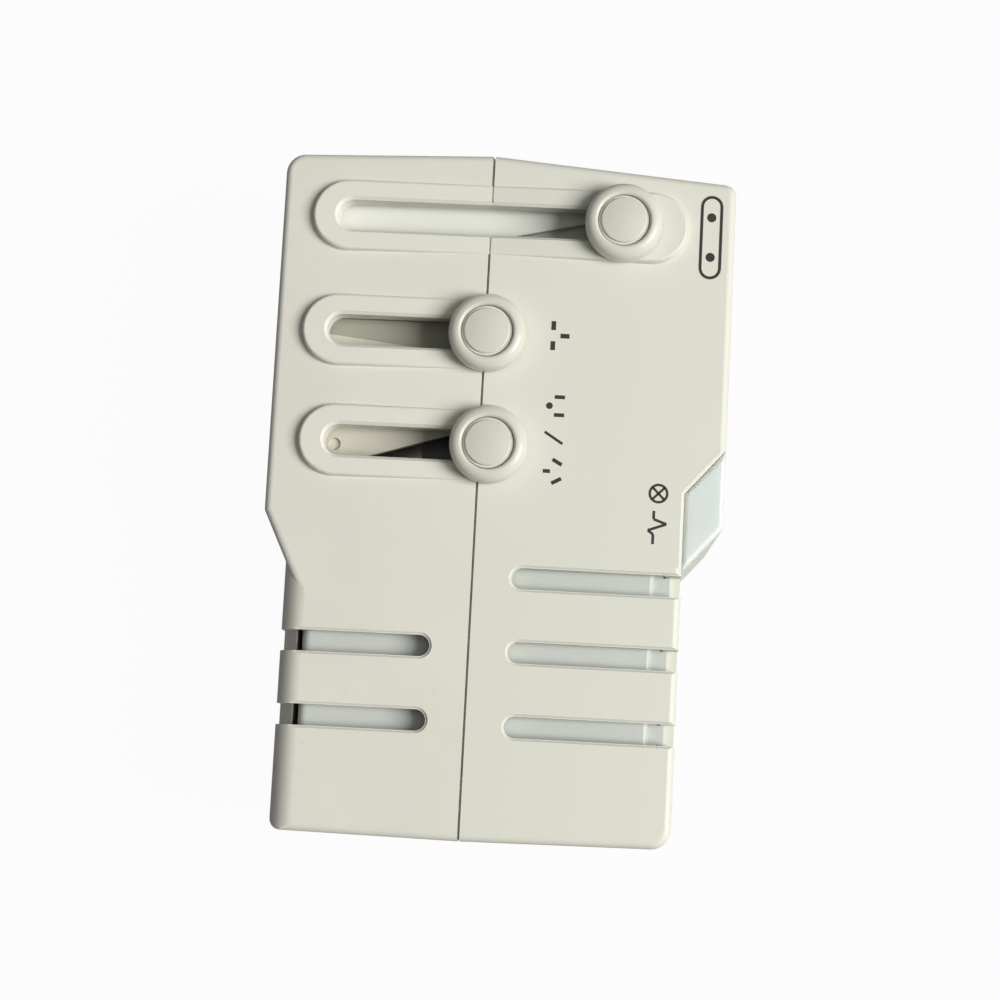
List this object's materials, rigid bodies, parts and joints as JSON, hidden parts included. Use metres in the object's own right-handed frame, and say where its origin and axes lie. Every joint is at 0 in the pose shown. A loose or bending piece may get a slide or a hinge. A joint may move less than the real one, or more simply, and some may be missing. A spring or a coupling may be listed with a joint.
{
  "type": "travel adapter",
  "caption": "All-in-one travel plug adapter with three sliding plugs, knobs with push buttons on tracks, a universal socket and a surge lamp window.",
  "frame": {"origin": "middle of the rear face's bounding rectangle, on the plane of the rear face", "axes": "+Y towards the end with the Europe slider, +X towards the socket side, +Z out of the front face with the sliders"},
  "size_m": [0.0604, 0.0908, 0.0415],
  "materials": {
    "housing": "fine matt moulding",
    "socket_grey": "fine matt moulding",
    "frame_white": "smooth moulding",
    "case_white": "smooth moulding",
    "knob": "satin moulding",
    "button": "satin moulding",
    "carriage_cream": "smooth moulding",
    "carriage_dark": "smooth moulding",
    "carriage_grey": "smooth moulding",
    "strip_grey": "smooth moulding",
    "pin_black": "smooth moulding",
    "hub_grey": "smooth moulding",
    "nickel": "nickel plate",
    "brass": "stamped strip",
    "steel": "zinc plate",
    "board": "laminate",
    "varistor_blue": "dipped coating",
    "fuse_white": "glazed tube",
    "resistor_tan": "lacquer",
    "lamp_glass": "clear glass",
    "lens": "translucent moulding",
    "lead_red": "soft insulation"
  },
  "bodies": {
    "housing": {"core_case": "case_white", "core_cover": "case_white", "fuse": "fuse_white", "fuse_clips": "steel", "housing_screws": "steel", "lamp_holder": "case_white", "lamp_leads": "lead_red", "lamp_resistor": "resistor_tan", "live_busbar": "brass", "live_contact": "brass", "neutral_busbar": "brass", "neutral_contact": "brass", "plug_guide": "frame_white", "socket_base": "frame_white", "socket_face": "socket_grey", "socket_side_shell": "housing", "surge_board": "board", "surge_lamp": "lamp_glass", "surge_lamp_lens": "lens", "surge_varistor": "varistor_blue", "uk_slot_strip": "strip_grey", "wall_side_shell": "housing"},
    "europe_plug": {"europe_carriage": "carriage_cream", "europe_pins": "nickel", "europe_sleeves": "pin_black", "europe_wipers": "brass", "europe_knob": "knob", "europe_button_spring": "steel"},
    "europe_release": {"europe_button": "button"},
    "uk_plug": {"uk_carriage": "carriage_dark", "uk_line_pins": "nickel", "uk_earth_pin": "pin_black", "uk_wipers": "brass", "uk_knob": "knob", "uk_button_spring": "steel"},
    "uk_release": {"uk_button": "button"},
    "us_plug": {"us_carriage": "carriage_grey", "us_back_plate": "carriage_grey", "us_wipers": "brass", "us_knob": "knob", "us_button_spring": "steel"},
    "us_release": {"us_button": "button"},
    "us_neutral_pin": {"us_neutral_hub": "hub_grey", "us_neutral_blade": "nickel"},
    "us_live_pin": {"us_live_hub": "hub_grey", "us_live_blade": "nickel"}
  },
  "joints": [
    {"name": "europe_slide", "type": "slide", "parent": "housing", "child": "europe_plug", "axis": [-1, 0, 0], "range_m": [0, 0.0361]},
    {"name": "uk_slide", "type": "slide", "parent": "housing", "child": "uk_plug", "axis": [-1, 0, 0], "range_m": [0, 0.01935]},
    {"name": "us_slide", "type": "slide", "parent": "housing", "child": "us_plug", "axis": [-1, 0, 0], "range_m": [0, 0.01985]},
    {"name": "europe_button_press", "type": "slide", "parent": "europe_plug", "child": "europe_release", "axis": [0, 0, -1], "range_m": [0, 0.0008], "stiffness_N_per_m": 1500, "deforming": ["europe_button_spring"]},
    {"name": "uk_button_press", "type": "slide", "parent": "uk_plug", "child": "uk_release", "axis": [0, 0, -1], "range_m": [0, 0.0008], "stiffness_N_per_m": 1500, "deforming": ["uk_button_spring"]},
    {"name": "us_button_press", "type": "slide", "parent": "us_plug", "child": "us_release", "axis": [0, 0, -1], "range_m": [0, 0.0008], "stiffness_N_per_m": 1500, "deforming": ["us_button_spring"]},
    {"name": "us_neutral_turn", "type": "hinge", "parent": "us_plug", "child": "us_neutral_pin", "pos_m": [-0.00225, 0.0061, 0.0252], "axis": [1, 0, 0], "range_deg": [-30, 0]},
    {"name": "us_live_turn", "type": "hinge", "parent": "us_plug", "child": "us_live_pin", "pos_m": [-0.00225, 0.0061, 0.012], "axis": [1, 0, 0], "range_deg": [0, 30]}
  ]
}
